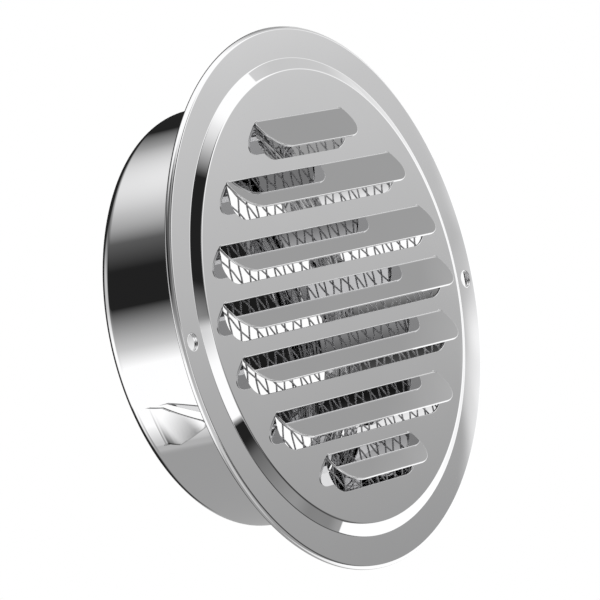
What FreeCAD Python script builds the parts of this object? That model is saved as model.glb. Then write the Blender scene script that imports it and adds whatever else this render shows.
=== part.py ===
"""Round louvred vent cover: a pressed face plate, a duct collar and a wire screen.

The cover faces -Y, +X is to the right and +Z is up, all in millimetres.
The origin is on the collar's axis, in the plane where the folded rim meets the wall.
"""
import FreeCAD
import Part
import math
import os

# Sheet thicknesses and fits
face_sheet = 0.8
collar_sheet = 0.8
hem_clearance = 0.1        # each side of the collar's flange inside the folded rim
screen_clearance = 0.1     # between the screen and the collar's flange
screen_edge_clearance = 0.5
bend_radius = 0.8          # inside radius of the step's and the louvres' bends

# Collar that enters the duct
collar_diameter = 147.5    # outside
collar_depth = 43.7        # behind the wall plane
rear_lip = 11.25           # inward reach of the turned rear edge
rear_bend_radius = 4.7     # inside

# Face plate, from the collar outwards
panel_margin = 5.85        # raised panel beyond the collar's outside
panel_rise = 2.0           # raised panel in front of the rim
step_width = 4.0
rim_width = 11.4           # flat rim outside the step
hem_return = 2.4           # reach of the folded edge behind the rim

# Louvres, lanced from the panel and hinged at their upper edge
louvre_pitches = (19.0, 20.6, 18.3)   # from the middle louvre outwards, up and down
louvre_height = 14.0
louvre_corner_radius = 9.6
louvre_margin = 1.95       # louvre corners inside the collar's bore
louvre_shortest = 40.0     # a row that would be shorter is left out
louvre_angle = 38.0        # degrees forward of the panel
louvre_drop = 1.2          # middle of the louvre field below the axis
lance_gap = 0.2            # sheared clearance around a blade

# Two screw holes through the rim
screw_hole_diameter = 5.5
screw_hole_margin = 0.55   # between a hole and the folded edge
screw_hole_drop = 4.6      # below the axis
screw_hole_play = 0.25     # extra radius in the collar's flange

# Gripping barbs lanced from the collar's wall, hinged at the rear and pointing forward
barb_count = 3
barb_angle = 204.5         # degrees from +X towards +Z, first barb
barb_from_rear = 9.0       # hinge to the collar's rear edge
barb_width = 15.2
barb_shoulder = 8.0        # parallel sides, from the hinge
barb_length = 25.0
barb_tip_radius = 1.5
barb_lean = 20.0           # degrees outward of the wall at the hinge
barb_tip_lean = 2.0        # degrees outward of the wall at the tip
barb_curl_radius = 70.0    # of the gentle bend between the two

# Wire screen: straight wires in two crossing layers
wire_size = 0.6
wire_spacing = 10.8
wire_angles = (84.2, 138.1)   # degrees from +X towards +Z, front and rear layer

# Derived sizes
axis = FreeCAD.Vector(0, 1, 0)
origin = FreeCAD.Vector(0, 0, 0)
collar_radius = collar_diameter / 2
bore_radius = collar_radius - collar_sheet
panel_radius = collar_radius + panel_margin
step_radius = panel_radius + step_width
rim_radius = step_radius + rim_width
hem_radius = rim_radius - hem_return
bead_thickness = 2 * face_sheet + collar_sheet + 2 * hem_clearance
rim_front = -bead_thickness
panel_front = rim_front - panel_rise
rim_middle = rim_front + face_sheet / 2
panel_middle = panel_front + face_sheet / 2
hem_middle = -face_sheet / 2
collar_flange_middle = -bead_thickness / 2
collar_flange_front = collar_flange_middle - collar_sheet / 2
screw_hole_radius = screw_hole_diameter / 2
screw_hole_x = hem_radius - screw_hole_margin - screw_hole_radius
louvre_field_radius = bore_radius - louvre_margin


def left(direction):
    """Unit vector to the left of a direction in the drawing plane."""
    return FreeCAD.Vector(-direction.y, direction.x, 0)


def heading(start, end):
    """Unit vector from one point to another."""
    return (end - start).normalize()


def bent_line(points, radii, offset):
    """Edges of a line with rounded corners, offset to the left of its course."""
    edges = []
    start = points[0] + left(heading(points[0], points[1])) * offset
    for before, corner, after, radius in zip(points, points[1:], points[2:], radii):
        into = heading(before, corner)
        out = heading(corner, after)
        turn = math.atan2(into.cross(out).z, into.dot(out))
        hand = math.copysign(1.0, turn)
        reach = radius * math.tan(abs(turn) / 2)
        bend_start = corner - into * reach
        centre = bend_start + left(into) * (hand * radius)
        arc_start = bend_start + left(into) * offset
        arc_middle = centre + heading(centre, corner) * (radius - hand * offset)
        arc_end = corner + out * reach + left(out) * offset
        if start.distanceToPoint(arc_start) > 1e-6:
            edges.append(Part.makeLine(start, arc_start))
        edges.append(Part.Arc(arc_start, arc_middle, arc_end).toShape())
        start = arc_end
    end = points[-1] + left(heading(points[-2], points[-1])) * offset
    edges.append(Part.makeLine(start, end))
    return edges


def sheet_section(corners, radii, thickness):
    """Section of a bent sheet from its middle line's corners and bend radii."""
    points = [FreeCAD.Vector(*corner[:2], 0) for corner in corners]
    one = bent_line(points, radii, thickness / 2)
    other = bent_line(points, radii, -thickness / 2)
    caps = [
        Part.makeLine(one[0].firstVertex().Point, other[0].firstVertex().Point),
        Part.makeLine(one[-1].lastVertex().Point, other[-1].lastVertex().Point),
    ]
    return Part.Face(Part.Wire(Part.__sortEdges__(one + other + caps)))


def tongue_face(points, radii):
    """Outline of a lanced tongue: rounded along its course and straight across its root."""
    course = [FreeCAD.Vector(a, b, 0) for a, b in points]
    edges = bent_line(course, radii, 0)
    return Part.Face(Part.Wire(edges + [Part.makeLine(course[-1], course[0])]))


def louvre_outline(half_length, root, tip):
    """Louvre seen square on, between two heights, with its lower corners rounded."""
    points = [(-half_length, root), (-half_length, tip), (half_length, tip), (half_length, root)]
    outline = tongue_face(points, [louvre_corner_radius, louvre_corner_radius])
    outline.rotate(origin, FreeCAD.Vector(1, 0, 0), 90)
    return outline


def barb_outline(half_width, root, shoulder, tip):
    """Barb seen square on, between two distances from the wall, with its tip rounded."""
    points = [(root, -half_width), (shoulder, -half_width), (tip, 0), (shoulder, half_width), (root, half_width)]
    outline = tongue_face(points, [barb_tip_radius, barb_tip_radius, barb_tip_radius])
    # drawn in XY with the hinge's width along Y: turn it to face along X
    outline.rotate(origin, FreeCAD.Vector(1, 1, 1), 120)
    return outline


def louvre_layout():
    """Middle height and half length of every louvre, from the top down."""
    tallest = math.sqrt(louvre_field_radius ** 2 - (louvre_shortest / 2) ** 2)
    rows = [0.0]
    for pitch in louvre_pitches:
        rows.append(rows[-1] + pitch)
    rows = [row for row in rows if row + louvre_height / 2 <= tallest]
    offsets = sorted({side * row for row in rows for side in (1, -1)}, reverse=True)
    layout = []
    for offset in offsets:
        corner = abs(offset) + louvre_height / 2
        half_length = math.sqrt(louvre_field_radius ** 2 - corner ** 2)
        layout.append((offset - louvre_drop, half_length))
    return layout


def louvre_window(middle, half_length):
    """Cutter for the opening that a louvre leaves in the panel."""
    hinge = middle + louvre_height / 2
    window = louvre_outline(half_length, hinge, hinge - louvre_height)
    window.translate(axis * (panel_front - face_sheet))
    return window.extrude(axis * (3 * face_sheet))


def louvre_blade(middle, half_length):
    """Blade bent forward about its upper edge, with the lower corners rounded."""
    hinge = middle + louvre_height / 2
    turn = math.radians(louvre_angle)
    bend_middle = bend_radius + face_sheet / 2
    reach = bend_middle * math.tan(turn / 2)
    straight = louvre_height - lance_gap - bend_middle * turn
    run = reach + straight
    root = (panel_middle, hinge + face_sheet)
    corner = (panel_middle, hinge - reach)
    end = (corner[0] - run * math.sin(turn), corner[1] - run * math.cos(turn))
    section = sheet_section([root, corner, end], [bend_middle], face_sheet)
    # drawn in XY: turn it into YZ and run it along X
    section.rotate(origin, FreeCAD.Vector(1, 1, 1), 120)
    half_blade = half_length - lance_gap
    section.translate(FreeCAD.Vector(-half_blade, 0, 0))
    strip = section.extrude(FreeCAD.Vector(2 * half_blade, 0, 0))
    outline = louvre_outline(half_blade, louvre_height, -run)
    outline.translate(axis * -louvre_height)
    trim = outline.extrude(axis * (2 * louvre_height))
    trim.rotate(origin, FreeCAD.Vector(1, 0, 0), -louvre_angle)
    trim.translate(FreeCAD.Vector(0, corner[0], corner[1]))
    return strip.common(trim)


def screw_holes(radius):
    """Cutters for the two screw holes in the rim."""
    drills = []
    for side in (-1, 1):
        start = FreeCAD.Vector(side * screw_hole_x, panel_front, -screw_hole_drop)
        drills.append(Part.makeCylinder(radius, -2 * panel_front, start, axis))
    return drills


def face_plate():
    """Pressed plate with a folded rim, a raised panel, lanced louvres and screw holes."""
    bend_middle = bend_radius + face_sheet / 2
    fold_middle = (hem_middle - rim_middle) / 2
    edge_middle = rim_radius - face_sheet / 2
    corners = [
        (0, panel_middle),
        (panel_radius, panel_middle),
        (step_radius, rim_middle),
        (edge_middle, rim_middle),
        (edge_middle, hem_middle),
        (hem_radius, hem_middle),
    ]
    section = sheet_section(corners, [bend_middle, bend_middle, fold_middle, fold_middle], face_sheet)
    plate = section.revolve(origin, axis, 360)
    layout = louvre_layout()
    plate = plate.cut([louvre_window(middle, half) for middle, half in layout])
    plate = plate.cut(screw_holes(screw_hole_radius))
    plate = plate.fuse([louvre_blade(middle, half) for middle, half in layout])
    return plate.removeSplitter()


def barb():
    """Barb at angle zero, bent outward about its rear edge, and the opening it leaves."""
    lean = math.radians(barb_lean)
    tip_lean = math.radians(barb_tip_lean)
    bend_middle = bend_radius + collar_sheet / 2
    hinge = collar_depth - barb_from_rear
    wall_middle = collar_radius - collar_sheet / 2
    half_run = (barb_length - lance_gap) / 2
    root = FreeCAD.Vector(wall_middle, hinge + collar_sheet, 0)
    corner = FreeCAD.Vector(wall_middle, hinge - bend_middle * math.tan(lean / 2), 0)
    knee = corner + FreeCAD.Vector(math.sin(lean), -math.cos(lean), 0) * half_run
    end = knee + FreeCAD.Vector(math.sin(tip_lean), -math.cos(tip_lean), 0) * half_run
    strip = sheet_section([root, corner, knee, end], [bend_middle, barb_curl_radius], collar_sheet)
    half_turn = math.degrees(math.asin(barb_width / 2 / bore_radius))
    strip.rotate(origin, axis, half_turn)
    strip = strip.revolve(origin, -axis, 2 * half_turn)
    across = FreeCAD.Vector(2 * collar_radius, 0, 0)
    half_barb = barb_width / 2 - lance_gap
    blade_shoulder = hinge - barb_shoulder * math.cos(lean)
    trim = barb_outline(half_barb, hinge + 2 * collar_sheet, blade_shoulder, end.y).extrude(across)
    opening = barb_outline(barb_width / 2, hinge, hinge - barb_shoulder, hinge - barb_length).extrude(across)
    return strip.common(trim), opening


def duct_collar():
    """Collar with an out-turned flange, a turned-in rear edge and pressed barbs."""
    wall_middle = collar_radius - collar_sheet / 2
    rear_middle = collar_depth - collar_sheet / 2
    flange_radius = rim_radius - bead_thickness / 2
    corners = [
        (flange_radius, collar_flange_middle),
        (wall_middle, collar_flange_middle),
        (wall_middle, rear_middle),
        (collar_radius - rear_lip, rear_middle),
    ]
    radii = [bend_radius + collar_sheet / 2, rear_bend_radius + collar_sheet / 2]
    collar = sheet_section(corners, radii, collar_sheet).revolve(origin, axis, 360)
    barbs = []
    openings = []
    for index in range(barb_count):
        for piece, pieces in zip(barb(), (barbs, openings)):
            piece.rotate(origin, -axis, barb_angle + 360 * index / barb_count)
            pieces.append(piece)
    collar = collar.cut(openings + screw_holes(screw_hole_radius + screw_hole_play))
    return collar.fuse(barbs).removeSplitter()


def insect_screen():
    """Disc of crossing wires, trapped between the panel and the collar's flange."""
    screen_radius = panel_radius - screen_edge_clearance
    screen_rear = collar_flange_front - screen_clearance
    wires = []
    for layer, angle in enumerate(wire_angles):
        front = screen_rear - (2 - layer) * wire_size
        count = int((bore_radius - wire_size) / wire_spacing)
        for step in range(-count, count + 1):
            offset = step * wire_spacing
            half = math.sqrt(screen_radius ** 2 - (abs(offset) + wire_size / 2) ** 2)
            corner = FreeCAD.Vector(-half, front, offset - wire_size / 2)
            wire = Part.makeBox(2 * half, wire_size, wire_size, corner)
            wire.rotate(origin, -axis, angle)
            wires.append(wire)
    return wires[0].fuse(wires[1:]).removeSplitter()


os.makedirs("parts", exist_ok=True)
for node, build in (("face_plate", face_plate), ("duct_collar", duct_collar), ("insect_screen", insect_screen)):
    shape = build()
    box = shape.BoundBox
    print(f"{node}: {len(shape.Solids)} solid, valid {shape.isValid()}, {shape.Volume / 1000:.2f} cm3, "
          f"{box.XLength:.1f} x {box.YLength:.1f} x {box.ZLength:.1f} mm, {len(shape.Faces)} faces")
    shape.exportStep(f"parts/{node}.step")
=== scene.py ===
# %% [markdown]
# # A round louvred vent cover in polished sheet steel
#
# The cover is three pieces of metal: a pressed face plate with louvres, a collar that enters the duct,
# and a wire screen between them. The solids come from the shared frame. This lesson dresses them with
# finer sheet, softened cut edges, a woven screen and a polish that reflects the studio.

import math

import bmesh
import bpy
from mathutils import Matrix, Vector


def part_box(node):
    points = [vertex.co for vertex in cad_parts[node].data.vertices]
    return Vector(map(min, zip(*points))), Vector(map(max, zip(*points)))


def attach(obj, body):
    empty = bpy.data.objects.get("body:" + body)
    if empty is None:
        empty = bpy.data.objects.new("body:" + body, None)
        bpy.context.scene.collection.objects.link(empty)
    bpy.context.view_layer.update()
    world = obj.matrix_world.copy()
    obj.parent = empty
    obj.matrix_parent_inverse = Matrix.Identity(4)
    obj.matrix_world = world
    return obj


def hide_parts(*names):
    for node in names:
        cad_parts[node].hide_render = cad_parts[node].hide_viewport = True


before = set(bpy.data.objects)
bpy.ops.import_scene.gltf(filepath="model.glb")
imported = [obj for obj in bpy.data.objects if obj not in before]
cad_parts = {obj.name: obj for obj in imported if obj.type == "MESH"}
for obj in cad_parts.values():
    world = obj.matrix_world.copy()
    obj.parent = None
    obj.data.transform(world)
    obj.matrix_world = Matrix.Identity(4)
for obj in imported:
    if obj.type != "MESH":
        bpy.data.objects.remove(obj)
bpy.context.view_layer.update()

# %% [markdown]
# Sheet metal is easiest to read in millimetres, while the scene is in metres, so every point passes
# through one small function. The cover faces -Y, its collar runs along +Y, and the wall plane is y = 0.
# Angles round the collar's axis are counted from +X towards +Z.

# %% Points and rings
RIM_RADIUS = 95.0
SHEET = 0.8
RIM_FRONT = -2.6


def point(x, y, z):
    """A place given in millimetres, as a vector in metres."""
    return Vector((x, y, z)) * 0.001


def ring(bm, radius, y, headings):
    """A closed ring of vertices round the collar's axis."""
    return [bm.verts.new(point(radius * math.cos(a), y, radius * math.sin(a))) for a in headings]


def band(bm, one, other):
    """Quads between two rings with the same headings."""
    for i in range(len(one)):
        bm.faces.new((one[i - 1], one[i], other[i], other[i - 1]))


def bend(centre, radius, start, end, steps):
    """Points on an arc of the section: (distance from the axis, y), angles in degrees."""
    angles = [math.radians(start + (end - start) * i / steps) for i in range(steps + 1)]
    return [(centre[0] + radius * math.cos(a), centre[1] + radius * math.sin(a)) for a in angles]


even_headings = [math.tau * i / 360 for i in range(360)]
low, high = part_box("face_plate")
print("face plate is", round((high - low).x * 1000, 1), "mm across in the frame")

# %% [markdown]
# A flat area with holes in it, such as the panel or the rim, could be cut with booleans. Those leave long
# crossed edges. Filling between its outlines instead gives one clean flat area, because every outline
# point is placed on purpose and can be shared with the bend that starts there.

# %% Flat areas with holes
HOLE_POINTS = 48
HOLE_BORDER = 0.5


def closed(bm, verts):
    """Edges that join vertices in a closed loop."""
    return [bm.edges.get((a, b)) or bm.edges.new((a, b)) for a, b in zip(verts, verts[1:] + verts[:1])]


def fill(bm, loops):
    """A flat area between an outer outline and the holes inside it."""
    edges = [edge for loop in loops for edge in closed(bm, loop)]
    bmesh.ops.triangle_fill(bm, use_beauty=True, use_dissolve=False, edges=edges)


def hole(bm, x, y, z, radius):
    """A round hole in a plane that faces along Y, with a narrow flat border. Returns the border's outline."""
    turns = [math.tau * i / HOLE_POINTS for i in range(HOLE_POINTS)]
    rings = []
    for r in (radius, radius + HOLE_BORDER):
        rings.append([bm.verts.new(point(x + r * math.cos(a), y, z + r * math.sin(a))) for a in turns])
    band(bm, *rings)
    return rings[1]


print("a screw hole has", HOLE_POINTS, "points and a border of", HOLE_BORDER, "mm")

# %% [markdown]
# The face plate is one sheet. Its section, walked outwards from the raised panel, goes down a small step,
# across the flat rim, and turns back on itself at the edge: the hem that grips the collar's flange. Spinning
# the front line of that section gives the skin, and thickness is added behind it later. A narrow flat ring
# beside each bend keeps the bend's shading out of the large flats.

# %% Section of the face plate
STEP_DROP = 2.0
PANEL_FRONT = RIM_FRONT - STEP_DROP
PANEL_RADIUS = 79.6
STEP_RADIUS = 83.6
HEM_INNER = 92.6
FOLD = 1.3
STEP_BEND = 1.0
FLAT_BORDER = 0.6

step_angle = math.degrees(math.atan2(STEP_DROP, STEP_RADIUS - PANEL_RADIUS))
ease = math.tan(math.radians(step_angle / 2))
crest_bend = STEP_BEND + SHEET
crest_centre = (PANEL_RADIUS - crest_bend * ease, PANEL_FRONT + crest_bend)
crest = bend(crest_centre, crest_bend, -90, -90 + step_angle, 10)
crest.insert(0, (crest[0][0] - FLAT_BORDER, PANEL_FRONT))
foot_centre = (STEP_RADIUS + STEP_BEND * ease, RIM_FRONT - STEP_BEND)
foot = bend(foot_centre, STEP_BEND, 90 + step_angle, 90, 10)
foot.append((foot[-1][0] + FLAT_BORDER, RIM_FRONT))
hem = bend((RIM_RADIUS - FOLD, -FOLD), FOLD, -90, 90, 20)
hem.insert(0, (hem[0][0] - FLAT_BORDER, RIM_FRONT))
print("step falls at", round(step_angle, 1), "degrees, hem is", 2 * FOLD, "mm thick")

# %% [markdown]
# The louvres are lanced: the press shears three sides of each tongue and bends it forward about its top
# edge. The window and the blade therefore share one outline, with generous round lower corners, and the
# sheet stays whole along the hinge. The rows are not evenly spaced, and their ends follow a circle.

# %% Louvre layout
LOUVRE_HEIGHT = 14.0
LOUVRE_CORNER = 9.6
LOUVRE_FIELD = 71.0
LOUVRE_DROP = 1.2
LOUVRE_ANGLE = math.radians(38)
LOUVRE_ROOT = 2.2
SHEAR_GAP = 0.3
BEND = 0.8
louvre_rows = [57.9, 39.6, 19.0, 0.0, -19.0, -39.6, -57.9]


def drawn_in(down, root):
    """How far a tongue's round root draws its side in, at a distance below the hinge."""
    return root - math.sqrt(root**2 - max(0, root - down) ** 2)


def tongue(half, start, depth, root):
    """Edge of a tongue from its left root, down and round to its right root: (across, down)."""
    roots = [start + (root - start) * (i / 8) ** 2 for i in range(9)]
    turns = [math.pi / 2 * i / 16 for i in range(17)]
    left = [(-half + drawn_in(down, root), down) for down in roots]
    for a in turns:
        left.append((-half + LOUVRE_CORNER * (1 - math.cos(a)), depth - LOUVRE_CORNER * (1 - math.sin(a))))
    return left + [(-x, down) for x, down in reversed(left)]


louvres = []
for row in louvre_rows:
    reach = abs(row) + LOUVRE_HEIGHT / 2
    louvres.append((row - LOUVRE_DROP + LOUVRE_HEIGHT / 2, math.sqrt(LOUVRE_FIELD**2 - reach**2)))
print("louvre lengths in mm:", [round(2 * half, 1) for hinge, half in louvres])

# %% [markdown]
# Each blade is one skin: a hair-thin strip of the panel above the hinge, the bend, and the flat tongue that leans
# forward. The window left in the panel has the same outline, larger by the gap that the shear leaves.

# %% Louvre skins
HINGE_STRIP = 0.15


def louvre(bm, hinge, half):
    """Adds one bent blade and returns the outline of its window in the panel."""
    blade = half - SHEAR_GAP
    root = LOUVRE_ROOT + HINGE_STRIP
    arc = (BEND + SHEET / 2) * LOUVRE_ANGLE
    strip = hinge + HINGE_STRIP
    rows = [[bm.verts.new(point(x, PANEL_FRONT, strip)) for x in (root - blade, blade - root)]]
    for share in [(i / 8) ** 2 for i in range(9)]:
        y = PANEL_FRONT - BEND + BEND * math.cos(LOUVRE_ANGLE * share)
        z = hinge - BEND * math.sin(LOUVRE_ANGLE * share)
        side = blade - drawn_in(arc * share, root)
        rows.append([bm.verts.new(point(x, y, z)) for x in (-side, side)])
    for above, below in zip(rows, rows[1:]):
        bm.faces.new((above[0], below[0], below[1], above[1]))
    lean = (math.sin(LOUVRE_ANGLE), math.cos(LOUVRE_ANGLE))
    outline = [(x, down - arc) for x, down in tongue(blade, arc, LOUVRE_HEIGHT - SHEAR_GAP, root)[1:-1]]
    free_edge = [bm.verts.new(point(x, y - down * lean[0], z - down * lean[1])) for x, down in outline]
    bm.faces.new([rows[-1][0]] + free_edge + [rows[-1][1]])
    opening = tongue(half, 0, LOUVRE_HEIGHT, LOUVRE_ROOT)
    window = [bm.verts.new(point(x, PANEL_FRONT, hinge - down)) for x, down in opening]
    return window + [rows[0][1], rows[0][0]]


plate = bmesh.new()
windows = [louvre(plate, hinge, half) for hinge, half in louvres]
print("blades added:", len(windows), "with", len(plate.faces), "faces")

# %% [markdown]
# The step and the hem are rings joined by quads. The panel is filled between the step and the windows, and the
# rim between the step, the hem and the two screw holes.

# %% Skin of the face plate
SCREW_X = 89.3
SCREW_Z = -4.6
SCREW_RADIUS = 2.75

step_rings = [ring(plate, r, y, even_headings) for r, y in crest + foot]
for inner, outer in zip(step_rings, step_rings[1:]):
    band(plate, inner, outer)
hem_rings = [ring(plate, r, y, even_headings) for r, y in hem + [(HEM_INNER, 0.0)]]
for inner, outer in zip(hem_rings, hem_rings[1:]):
    band(plate, inner, outer)
fill(plate, [step_rings[0]] + windows)
screw_holes = [hole(plate, side * SCREW_X, RIM_FRONT, SCREW_Z, SCREW_RADIUS) for side in (-1, 1)]
fill(plate, [step_rings[-1], hem_rings[0]] + screw_holes)
print("face plate skin:", len(plate.verts), "points,", len(plate.faces), "faces")

# %% [markdown]
# A skin becomes sheet metal with three modifiers. Solidify adds the thickness behind it, a narrow Bevel
# softens the sheared edges so that they catch a thin bright line, and Weighted Normal keeps the flats truly
# flat in reflections while the bends stay round.

# %% From skin to sheet
EDGE_ROUNDING = 0.2


def sheet_piece(name, bm, node, front):
    """Turns a skin into sheet metal that stands for a node of the frame."""
    bmesh.ops.recalc_face_normals(bm, faces=bm.faces)
    if front(bm) < 0:
        bmesh.ops.reverse_faces(bm, faces=bm.faces)
    mesh = bpy.data.meshes.new(name)
    bm.to_mesh(mesh)
    bm.free()
    mesh.shade_smooth()
    piece = bpy.data.objects.new(name, mesh)
    bpy.context.scene.collection.objects.link(piece)
    solid = piece.modifiers.new("sheet thickness", "SOLIDIFY")
    solid.thickness = SHEET * 0.001
    solid.offset = -1
    solid.use_even_offset = True
    soft = piece.modifiers.new("sheared edges", "BEVEL")
    soft.width = EDGE_ROUNDING * 0.001
    soft.segments = 3
    soft.limit_method = "ANGLE"
    soft.angle_limit = math.radians(55)
    soft.use_clamp_overlap = False
    flat = piece.modifiers.new("true flats", "WEIGHTED_NORMAL")
    flat.weight = 100
    flat.thresh = 2e-9
    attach(piece, "root")
    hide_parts(node)
    return piece


def towards_front(bm):
    """Positive where the largest flat of the face plate looks along -Y."""
    return -max(bm.faces, key=lambda face: face.calc_area()).normal.y


face_plate = sheet_piece("face_plate_sheet", plate, "face_plate", towards_front)
print("face plate piece:", face_plate.name)

# %% [markdown]
# The collar is a tube with an out-turned flange in front and, behind, a generous bend into a narrow lip that
# points inwards, as on a drawn cup whose bottom was punched out. Barbs are lanced from its wall: pencil-shaped
# tongues, hinged at the rear and pointing forward, that let the collar slide into a duct and then hold it. One
# barb and the opening of a second are seen in the photograph, and the third is assumed. The wall gets extra
# columns of points where a barb is, so that the opening's outline runs along edges of the mesh.

# %% Collar layout
COLLAR_RADIUS = 73.75
COLLAR_REAR = 43.7
REAR_BEND = 5.5
FLANGE_REAR = -0.9
FLANGE_RADIUS = 93.7
LIP_RADIUS = 62.5
BARB_HALF = 7.6
BARB_HINGE = COLLAR_REAR - 9.0
BARB_SHOULDER = 8.0
BARB_LENGTH = 25.0
BARB_TIP = 1.5
BARB_BEND = 5.0
BETWEEN_BARBS = 84
barb_angles = [math.radians(204.5 + 120 * i) for i in range(3)]
barb_columns = [math.copysign(abs(t) ** 1.4, t) * BARB_HALF for t in [i / 14 for i in range(-14, 15)]]

span = BARB_HALF / COLLAR_RADIUS
collar_headings = []
for centre in barb_angles:
    collar_headings += [centre + across / COLLAR_RADIUS for across in barb_columns]
    gap = math.tau / 3 - 2 * span
    collar_headings += [centre + span + gap * i / BETWEEN_BARBS for i in range(1, BETWEEN_BARBS)]
print("headings round the collar:", len(collar_headings))

# %% [markdown]
# Seen flat, a barb has parallel shoulders and a blunt tip. Seen from the side, it leaves the wall at a slant and
# then curls gently back until it is nearly level with the wall, so that it slides in and does not snag.

# %% Outline and lean of a barb
BARB_LEAN = 20
BARB_TIP_LEAN = 2
BARB_CURL = 70


def barb_edge(across, half, shoulder, tip):
    """Where the barb's outline ends at a distance from its middle line."""
    slope = (shoulder - tip) / half
    run = math.hypot(1, slope)
    if abs(across) < BARB_TIP * slope / run:
        return tip + BARB_TIP * run - math.sqrt(BARB_TIP**2 - across**2)
    return tip + slope * abs(across)


def barb_section(lean, tip_lean, curl):
    """Outer line of the bent barb from its hinge: (distance from the axis, y)."""
    line = bend((COLLAR_RADIUS + BARB_BEND, BARB_HINGE), BARB_BEND, 180, 180 + lean, 8)
    half_run = (BARB_LENGTH - SHEAR_GAP) / 2
    eased = curl * math.tan(math.radians(lean - tip_lean) / 2)
    heading = [(half_run - eased, lean, 8)]
    steps = 10
    turn = lean - tip_lean
    heading += [(curl * math.radians(turn) / steps, lean - turn * (i + 0.5) / steps, 1) for i in range(steps)]
    heading += [(half_run - eased, tip_lean, 8)]
    for length, angle, pieces in heading:
        for i in range(pieces):
            r, y = line[-1]
            stride = length / pieces
            slant = math.radians(angle)
            line.append((r + stride * math.sin(slant), y - stride * math.cos(slant)))
    return line


barb_line = barb_section(BARB_LEAN, BARB_TIP_LEAN, BARB_CURL)
tip_radius, tip_place = barb_line[-1]
print("barb tip stands", round(tip_radius - COLLAR_RADIUS, 1), "mm proud, at y =", round(tip_place, 1))

# %% [markdown]
# The collar's ends come first: the bend into the flange, the bend into the lip, and the flange itself, which has
# clearance holes behind the screw holes of the rim. The plain wall between the two bends is left for last.

# %% Collar ends and flange
FLANGE_PLAY = 0.25


def on_wall(bm, radius, y, heading):
    """A vertex at a distance from the collar's axis."""
    return bm.verts.new(point(radius * math.cos(heading), y, radius * math.sin(heading)))


def lean_radius(y):
    """How far the barb stands from the axis at a distance from the wall plane."""
    for (r0, y0), (r1, y1) in zip(barb_line, barb_line[1:]):
        if y1 <= y <= y0:
            return r0 + (r1 - r0) * (y0 - y) / (y0 - y1)
    return barb_line[-1][0]


collar = bmesh.new()
front_bend = bend((COLLAR_RADIUS + BEND, FLANGE_REAR + BEND), BEND, -90, -180, 8)
rear_bend = bend((COLLAR_RADIUS - REAR_BEND, COLLAR_REAR - REAR_BEND), REAR_BEND, 0, 90, 18)
front_rings = [ring(collar, r, y, collar_headings) for r, y in front_bend]
rear_rings = [ring(collar, r, y, collar_headings) for r, y in rear_bend + [(LIP_RADIUS, COLLAR_REAR)]]
for rings in (front_rings, rear_rings):
    for one, other in zip(rings, rings[1:]):
        band(collar, one, other)
flange_edge = ring(collar, FLANGE_RADIUS, FLANGE_REAR, even_headings)
clearance = SCREW_RADIUS + FLANGE_PLAY
flange_holes = [hole(collar, side * SCREW_X, FLANGE_REAR, SCREW_Z, clearance) for side in (-1, 1)]
fill(collar, [flange_edge, front_rings[0]] + flange_holes)
print("collar rings:", len(front_rings) + len(rear_rings))

# %% [markdown]
# The wall is walked round once. Where a barb is, each column of points has the wall in front of the opening, the
# tongue and the wall behind the hinge. The tongue narrows by the shear's gap just after its hinge.

# %% Wall, openings and tongues
GAP_OPENS = 1.5
shares = [(i / 32) ** 1.5 for i in range(33)]
wall_front, wall_rear = front_rings[-1], rear_rings[0]
per_barb = len(barb_columns) + BETWEEN_BARBS - 1
for number, centre in enumerate(barb_angles):
    first = number * per_barb
    previous = None
    for column, across in enumerate(barb_columns):
        heading = centre + across / COLLAR_RADIUS
        edge_y = barb_edge(across, BARB_HALF, BARB_HINGE - BARB_SHOULDER, BARB_HINGE - BARB_LENGTH)
        edge = on_wall(collar, COLLAR_RADIUS, edge_y, heading)
        hinge = on_wall(collar, COLLAR_RADIUS, BARB_HINGE, heading)
        shoulder_y = BARB_HINGE - BARB_SHOULDER * math.cos(math.radians(BARB_LEAN))
        tip_y = barb_edge(across, BARB_HALF, shoulder_y, barb_line[-1][1])
        tongue_points = [hinge]
        for share in shares[1:]:
            y = BARB_HINGE + (tip_y - BARB_HINGE) * share
            inset = 1 - SHEAR_GAP / BARB_HALF * min(1, (BARB_HINGE - y) / GAP_OPENS)
            turned = centre + across * inset / COLLAR_RADIUS
            tongue_points.append(on_wall(collar, lean_radius(y), y, turned))
        if previous:
            i = first + column
            collar.faces.new((wall_front[i - 1], wall_front[i], edge, previous[0]))
            collar.faces.new((previous[1], hinge, wall_rear[i], wall_rear[i - 1]))
            for a, b, c, d in zip(previous[2], tongue_points, tongue_points[1:], previous[2][1:]):
                collar.faces.new((a, b, c, d))
        else:
            i = first
            ahead = (wall_front[i - 1], wall_front[i])
            collar.faces.new(ahead + (edge, hinge, wall_rear[i], wall_rear[i - 1]))
        previous = (edge, hinge, tongue_points)
    i = first + len(barb_columns)
    corners = (wall_front[i - 1], wall_front[i], wall_rear[i], wall_rear[i - 1])
    collar.faces.new(corners + (previous[1], previous[0]))
    for i in range(first + len(barb_columns) + 1, first + per_barb):
        collar.faces.new((wall_front[i - 1], wall_front[i], wall_rear[i], wall_rear[i - 1]))


def away_from_axis(bm):
    """Positive where the tallest wall face looks away from the collar's axis."""
    face = max(bm.faces, key=lambda f: max(v.co.y for v in f.verts) - min(v.co.y for v in f.verts))
    centre = face.calc_center_median()
    return face.normal.x * centre.x + face.normal.z * centre.z


duct_collar = sheet_piece("duct_collar_sheet", collar, "duct_collar", away_from_axis)
print("collar piece:", duct_collar.name, "with", len(duct_collar.data.polygons), "faces")

# %% [markdown]
# The insect screen is thin wire woven over and under, with diamond openings. Each wire is a slim tube that
# rises and falls by half its own thickness from one crossing to the next, in opposite step to its
# neighbours. That keeps the crossings in contact and gives every wire its own small highlight.

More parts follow.
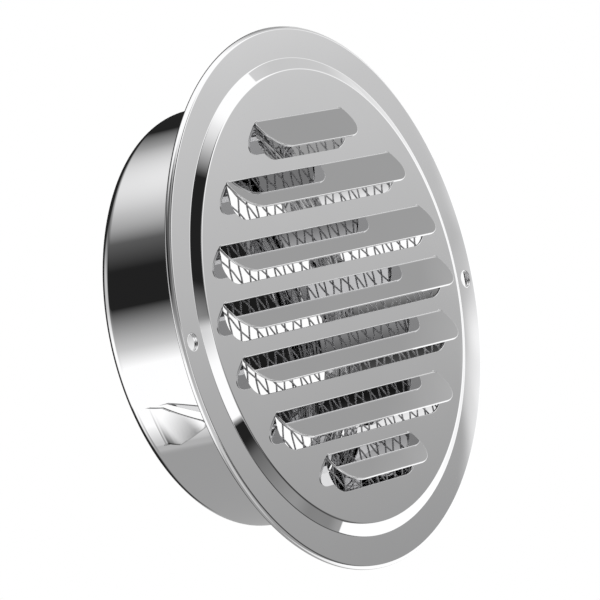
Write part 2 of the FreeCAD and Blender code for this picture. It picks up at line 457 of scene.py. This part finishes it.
# %% Woven screen
WIRE = 0.6
WIRE_SPACING = 5.4
SCREEN_RADIUS = 79.0
SCREEN_MIDDLE = -2.4
wire_families = [math.radians(84.2), math.radians(138.1)]


def wire_tube(bm, path, radius, sides):
    """A round wire along a path whose bends are slight."""
    along = (path[-1] - path[0]).normalized()
    across = along.cross(Vector((0, 1, 0))).normalized()
    rings = []
    for place in path:
        turns = [math.tau * i / sides for i in range(sides)]
        spokes = [across * math.cos(a) + Vector((0, math.sin(a), 0)) for a in turns]
        rings.append([bm.verts.new(place + radius * spoke) for spoke in spokes])
    for one, other in zip(rings, rings[1:]):
        band(bm, one, other)
    bm.faces.new(rings[0])
    bm.faces.new(rings[-1][::-1])


def weave(bm, family, other, hand):
    """Every wire of one direction, woven through the wires of the other."""
    along = Vector((math.cos(family), 0, math.sin(family)))
    aside = Vector((-along.z, 0, along.x))
    other_aside = Vector((-math.sin(other), 0, math.cos(other)))
    stride = WIRE_SPACING / along.dot(other_aside)
    for number in range(-14, 15):
        offset = number * WIRE_SPACING
        reach = math.sqrt(SCREEN_RADIUS**2 - offset**2)
        start = -offset * aside.dot(other_aside) / along.dot(other_aside)
        count = int(2 * reach / abs(stride) * 6)
        path = []
        for i in range(count + 1):
            travel = -reach + 2 * reach * i / count
            rise = hand * (-1) ** number * WIRE / 2 * math.cos(math.pi * (travel - start) / stride)
            place = along * travel + aside * offset
            path.append(point(place.x, SCREEN_MIDDLE + rise, place.z))
        wire_tube(bm, path, WIRE / 2 * 0.001, 6)


mesh_bm = bmesh.new()
weave(mesh_bm, wire_families[0], wire_families[1], 1)
weave(mesh_bm, wire_families[1], wire_families[0], -1)
bmesh.ops.recalc_face_normals(mesh_bm, faces=mesh_bm.faces)
screen_mesh = bpy.data.meshes.new("insect_screen_weave")
mesh_bm.to_mesh(screen_mesh)
mesh_bm.free()
screen_mesh.shade_smooth()
insect_screen = bpy.data.objects.new("insect_screen_weave", screen_mesh)
bpy.context.scene.collection.objects.link(insect_screen)
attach(insect_screen, "root")
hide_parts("insect_screen")
print("screen faces:", len(screen_mesh.polygons))

# %% [markdown]
# Materials are built from node graphs. Wiring nodes by hand is wordy, so a small class wraps an output
# socket and lets ordinary arithmetic add the Math nodes. One method adds any other node.

# %% Sockets as numbers
class Flow:
    """An output socket of a node tree that can be used in arithmetic."""

    def __init__(self, tree, socket=None):
        self.tree = tree
        self.socket = socket

    def node(self, kind, settings=None, out=0, **sockets):
        """Adds a node: settings first, then values or links for its sockets."""
        made = self.tree.nodes.new(kind)
        for name, value in (settings or {}).items():
            if name == "stops":
                for stop in list(made.color_ramp.elements)[1:]:
                    made.color_ramp.elements.remove(stop)
                for index, (place, colour) in enumerate(value):
                    ramp = made.color_ramp.elements
                    stop = ramp[0] if index == 0 else ramp.new(place)
                    stop.position = place
                    stop.color = colour
            else:
                setattr(made, name, value)
        for name, value in sockets.items():
            numbered = name[0] == "i" and name[1:].isdigit()
            socket = made.inputs[int(name[1:]) if numbered else name.replace("_", " ")]
            if isinstance(value, Flow):
                self.tree.links.new(value.socket, socket)
            else:
                socket.default_value = value
        return Flow(self.tree, made.outputs[out])

    def math(self, operation, *values):
        """Adds a Math node."""
        sockets = {f"i{i}": value for i, value in enumerate(values)}
        return self.node("ShaderNodeMath", {"operation": operation}, **sockets)

    def __add__(self, other):
        return self.math("ADD", self, other)

    __radd__ = __add__

    def __mul__(self, other):
        return self.math("MULTIPLY", self, other)

    __rmul__ = __mul__

    def __sub__(self, other):
        return self.math("SUBTRACT", self, other)

    def __rsub__(self, other):
        return self.math("SUBTRACT", other, self)

    def __truediv__(self, other):
        return self.math("DIVIDE", self, other)

    def smooth(self, low, high):
        """Rises from 0 at low to 1 at high."""
        ramp = {"interpolation_type": "SMOOTHSTEP"}
        return self.node("ShaderNodeMapRange", ramp, Value=self, From_Min=low, From_Max=high)


print("arithmetic on sockets is ready")

# %% [markdown]
# Polished stainless steel is almost a mirror. What tells it from a perfect one is small: the polishing leaves
# a very fine grain, handling leaves faint patches where the shine is softer, and pressed sheet is never
# exactly flat. All three stay far below what would blur the reflections. The screen's drawn wire is duller and
# darker than the sheet, so it is given the same recipe with less metal and more roughness.

# %% Polished steel
def polished_steel(name, colour, shine, patch_scale, waviness, metal=1.0):
    """Bright steel with a fine grain, faint patches and a trace of waviness."""
    material = bpy.data.materials.new(name)
    material.use_nodes = True
    tree = material.node_tree
    flow = Flow(tree)
    shader = tree.nodes["Principled BSDF"]
    shader.inputs["Metallic"].default_value = metal
    place = flow.node("ShaderNodeTexCoord", out=3)
    patches = flow.node("ShaderNodeTexNoise", Vector=place, Scale=patch_scale, Detail=4.0, Roughness=0.6)
    grain_place = flow.node("ShaderNodeMapping", Vector=place, Scale=(260.0, 260.0, 4200.0))
    grain = flow.node("ShaderNodeTexNoise", Vector=grain_place, Scale=1.0, Detail=2.0)
    soft = patches.smooth(0.45, 0.75)
    roughness = shine + soft * 0.012 + grain * 0.006
    dull = tuple(c * 0.97 for c in colour) + (1,)
    bright = tuple(min(1, c * 1.02) for c in colour) + (1,)
    tone = flow.node("ShaderNodeValToRGB", {"stops": [(0.0, dull), (1.0, bright)]}, Fac=patches)
    wave = flow.node("ShaderNodeTexNoise", Vector=place, Scale=26.0, Detail=1.0)
    bump = flow.node("ShaderNodeBump", Strength=waviness, Distance=0.0005, Height=wave)
    tree.links.new(tone.socket, shader.inputs["Base Color"])
    tree.links.new(roughness.socket, shader.inputs["Roughness"])
    tree.links.new(bump.socket, shader.inputs["Normal"])
    return material


def dress(piece, material):
    """Gives a piece its one material."""
    piece.data.materials.clear()
    piece.data.materials.append(material)


STEEL = (0.70, 0.70, 0.705)
dress(face_plate, polished_steel("polished face", STEEL, 0.012, 22.0, 0.09))
dress(duct_collar, polished_steel("polished collar", STEEL, 0.012, 18.0, 0.04))
dress(insect_screen, polished_steel("screen wire", (0.50, 0.50, 0.51), 0.42, 90.0, 0.04, 0.45))
print("materials:", [m.name for m in bpy.data.materials if m.users])

# %% [markdown]
# A mirror shows its room, so polished metal is lit by what stands round it. Dark bands on the collar and the step
# tell of dark cards in a white tent. Here the tent is a large sphere that only reflections see. The camera, the
# shadows and the matt floor do not know of it.

# %% Studio tent
tent_bm = bmesh.new()
bmesh.ops.create_uvsphere(tent_bm, u_segments=64, v_segments=32, radius=5.0)
tent_mesh = bpy.data.meshes.new("studio_tent")
tent_bm.to_mesh(tent_mesh)
tent_bm.free()
tent = bpy.data.objects.new("studio_tent", tent_mesh)
bpy.context.scene.collection.objects.link(tent)
tent.visible_camera = False
tent.visible_diffuse = False
tent.visible_shadow = False
tent.visible_transmission = False
print("tent radius is", round(tent.dimensions.x / 2, 1), "m")

# %% [markdown]
# Tall panels stand side by side round the cover. Each is made of cards in five plain tones, from black to white
# cloth, that blend into each other from the floor to the ceiling. Headings are counted from +X towards +Y and
# heights from the horizon, in degrees. Each line says where a panel begins, how soft that edge is, and which
# tone it has at which height. One panel leans, so its edge slants across the flat rim.

# %% Panels of the tent
BLACK, COAL, GREY, PALE, WHITE = 0.015, 0.1, 0.32, 0.56, 1.0
SLANTED_PANEL = -30.38
panels = [
    (-180, 0, [(-90, PALE), (-30, PALE), (20, COAL), (55, COAL), (70, WHITE)]),
    (-115, 6, [(-90, GREY), (-20, PALE), (10, GREY), (35, GREY), (60, WHITE)]),
    (-88, 1, [(-35, GREY), (-25, BLACK), (-20, BLACK), (-19, WHITE), (-1, WHITE), (1, BLACK), (27, BLACK),
              (34, WHITE)]),
    (-77, 2, [(-35, GREY), (-21, BLACK), (-14, GREY), (12, GREY), (20, BLACK), (27, BLACK), (34, WHITE)]),
    (-56, 4, [(-40, GREY), (-28, COAL), (-14, BLACK), (-6, BLACK), (3, WHITE)]),
    (-41, 3, [(-34, GREY), (-28, COAL), (-14, COAL), (-4, GREY), (3, PALE), (9, WHITE)]),
    (SLANTED_PANEL, 0.3, [(-90, PALE), (-45, WHITE), (4, WHITE), (20, PALE), (30, PALE), (52, WHITE)]),
    (-18, 3, [(-90, PALE), (-45, WHITE), (4, WHITE), (20, PALE), (28, PALE), (30, GREY), (42, GREY),
              (60, WHITE)]),
    (25, 3, [(-11, GREY), (-4, BLACK), (36, BLACK), (47, GREY), (60, WHITE)]),
    (52, 5, [(-40, GREY), (-30, BLACK), (38, BLACK), (47, GREY), (60, WHITE)]),
    (91, 7, [(-37, GREY), (-24, WHITE), (0, WHITE), (10, PALE), (20, PALE), (35, COAL), (47, GREY),
             (60, WHITE)]),
    (120, 6, [(-50, GREY), (-38, WHITE), (-12, WHITE), (-4, PALE), (14, BLACK), (30, BLACK), (41, COAL),
              (60, WHITE)]),
]
WHITE_CLOTH = 1.425

tent_material = bpy.data.materials.new("tent cloth and panels")
tent_material.use_nodes = True
tent_tree = tent_material.node_tree
tent_tree.nodes.clear()
flow = Flow(tent_tree)
tent_place = flow.node("ShaderNodeTexCoord", out=3)
where = flow.node("ShaderNodeVectorMath", {"operation": "NORMALIZE"}, i0=tent_place)
parts = flow.node("ShaderNodeSeparateXYZ", Vector=where)
east, north, up = [Flow(tent_tree, socket) for socket in parts.socket.node.outputs]
heading = flow.math("ARCTAN2", north, east) * (180 / math.pi)
height = flow.math("ARCSINE", up) * (180 / math.pi)
slanted = heading + flow.math("ABSOLUTE", height) * 0.17 - height * 0.04
tone = None
for start, soft, shades in panels:
    stops = [((high + 90) / 180, (shade, shade, shade, 1)) for high, shade in shades]
    panel = flow.node("ShaderNodeValToRGB", {"stops": stops}, Fac=(height + 90) / 180)
    if tone:
        edge = (slanted if start == SLANTED_PANEL else heading).smooth(start - soft, start + soft)
        panel = flow.node("ShaderNodeMix", {"data_type": "RGBA"}, out=2, i0=edge, i6=tone, i7=panel)
    tone = panel
glow = flow.node("ShaderNodeEmission", Color=tone, Strength=WHITE_CLOTH)
tent_out = tent_tree.nodes.new("ShaderNodeOutputMaterial")
tent_tree.links.new(glow.socket, tent_out.inputs["Surface"])
tent_mesh.materials.append(tent_material)
print("tent has", len(panels), "panels and", len(tent_tree.nodes), "nodes")

# %% [markdown]
# The background is plain white paper: white for the camera, for reflections and for rays that pass through
# something clear, and a little dimmer as light on matt surfaces.

# %% Background
world = bpy.data.worlds.new("white paper")
bpy.context.scene.world = world
world.use_nodes = True
world_tree = world.node_tree
world_flow = Flow(world_tree)
rays = world_flow.node("ShaderNodeLightPath").socket.node
ray_kinds = ("Is Camera Ray", "Is Glossy Ray", "Is Transmission Ray")
seen = [Flow(world_tree, rays.outputs[name]) for name in ray_kinds]
shown = world_flow.math("MINIMUM", seen[0] + seen[1] + seen[2], 1.0)
background = world_tree.nodes["Background"]
background.inputs["Color"].default_value = (1, 1, 1, 1)
world_tree.links.new((0.85 + shown * 0.15).socket, background.inputs["Strength"])
print("world has", len(world_tree.nodes), "nodes")

# %% [markdown]
# The floor is a wide pale sheet of paper well below the cover, which hangs in the air. It fades out with distance
# from its middle, so no horizon cuts the picture from other sides.

# %% Floor
floor_bm = bmesh.new()
bmesh.ops.create_grid(floor_bm, x_segments=1, y_segments=1, size=4.0)
floor_mesh = bpy.data.meshes.new("pale_floor")
floor_bm.to_mesh(floor_mesh)
floor_bm.free()
floor = bpy.data.objects.new("pale_floor", floor_mesh)
floor.location.z = -0.6
floor.visible_glossy = False
bpy.context.scene.collection.objects.link(floor)
floor_material = bpy.data.materials.new("pale floor paper")
floor_material.use_nodes = True
floor_flow = Flow(floor_material.node_tree)
floor_shader = floor_material.node_tree.nodes["Principled BSDF"]
floor_spot = floor_flow.node("ShaderNodeTexCoord", out=3)
fibre = floor_flow.node("ShaderNodeTexNoise", Vector=floor_spot, Scale=40.0, Detail=3.0)
paper = [(0.3, (0.90, 0.90, 0.90, 1)), (0.7, (0.92, 0.92, 0.92, 1))]
paper_colour = floor_flow.node("ShaderNodeValToRGB", {"stops": paper}, Fac=fibre)
floor_material.node_tree.links.new(paper_colour.socket, floor_shader.inputs["Base Color"])
floor_shader.inputs["Roughness"].default_value = 0.9
from_middle = floor_flow.node("ShaderNodeVectorMath", {"operation": "LENGTH"}, out=1, i0=floor_spot)
clear = floor_flow.node("ShaderNodeBsdfTransparent")
faded = floor_flow.node("ShaderNodeMixShader", Fac=from_middle.smooth(0.8, 3.8), i2=clear)
floor_material.node_tree.links.new(floor_shader.outputs["BSDF"], faded.socket.node.inputs[1])
floor_out = floor_material.node_tree.nodes["Material Output"]
floor_material.node_tree.links.new(faded.socket, floor_out.inputs["Surface"])
floor_mesh.materials.append(floor_material)
print("floor lies at", round(floor.location.z, 2), "m")

# %% [markdown]
# One large soft lamp stands at the upper left. Polished metal shows the tent and not the lamp, so the lamp only
# helps the matt surfaces and is hidden from reflections.

# %% Lamp
lamp_data = bpy.data.lights.new("soft_lamp", "AREA")
lamp_data.size = 1.6
lamp_data.energy = 12.0
lamp = bpy.data.objects.new("soft_lamp", lamp_data)
lamp.location = (-1.2, -1.0, 1.6)
lamp.rotation_euler = (-lamp.location).to_track_quat("-Z", "Y").to_euler()
lamp.visible_glossy = False
bpy.context.scene.collection.objects.link(lamp)
print("lamp is", round(lamp.location.length, 1), "m away")

# %% [markdown]
# The camera stands 57 degrees to the left of the cover's front and almost level with it, tipped by twelve
# degrees, with a long lens from about 1.8 m. The lens is shifted so that the middle of the rim lands right of
# the picture's centre, as in the photograph. The focal length and the centre are counted in picture points.

# %% Camera
AZIMUTH, ELEVATION, ROLL = math.radians(-57.37), math.radians(0.45), math.radians(-12.10)
DISTANCE = 1.7678
FOCAL = 5130.2
CENTRE = (332.4, 296.1)
PICTURE = 600
SENSOR = 36.0

rim_middle = point(0, RIM_FRONT, 0)
level = math.cos(ELEVATION)
outward = Vector((math.sin(AZIMUTH) * level, -math.cos(AZIMUTH) * level, math.sin(ELEVATION)))
eye = rim_middle + outward * DISTANCE
forward = -outward
right = forward.cross(Vector((0, 0, 1))).normalized()
above = right.cross(forward)
lean, upright = math.sin(ROLL), math.cos(ROLL)
right, above = right * upright + above * lean, above * upright - right * lean
camera_data = bpy.data.cameras.new("photo_camera")
camera_data.sensor_width = SENSOR
camera_data.lens = FOCAL * SENSOR / PICTURE
camera_data.shift_x = (PICTURE / 2 - CENTRE[0]) / PICTURE
camera_data.shift_y = (CENTRE[1] - PICTURE / 2) / PICTURE
camera_data.clip_start = 0.1
camera = bpy.data.objects.new("photo_camera", camera_data)
camera.matrix_world = Matrix.Translation(eye) @ Matrix((right, above, outward)).transposed().to_4x4()
bpy.context.scene.collection.objects.link(camera)
bpy.context.scene.camera = camera
bpy.context.scene.view_settings.view_transform = "Standard"
print("camera at", [round(value, 3) for value in eye], "lens", round(camera_data.lens, 1))
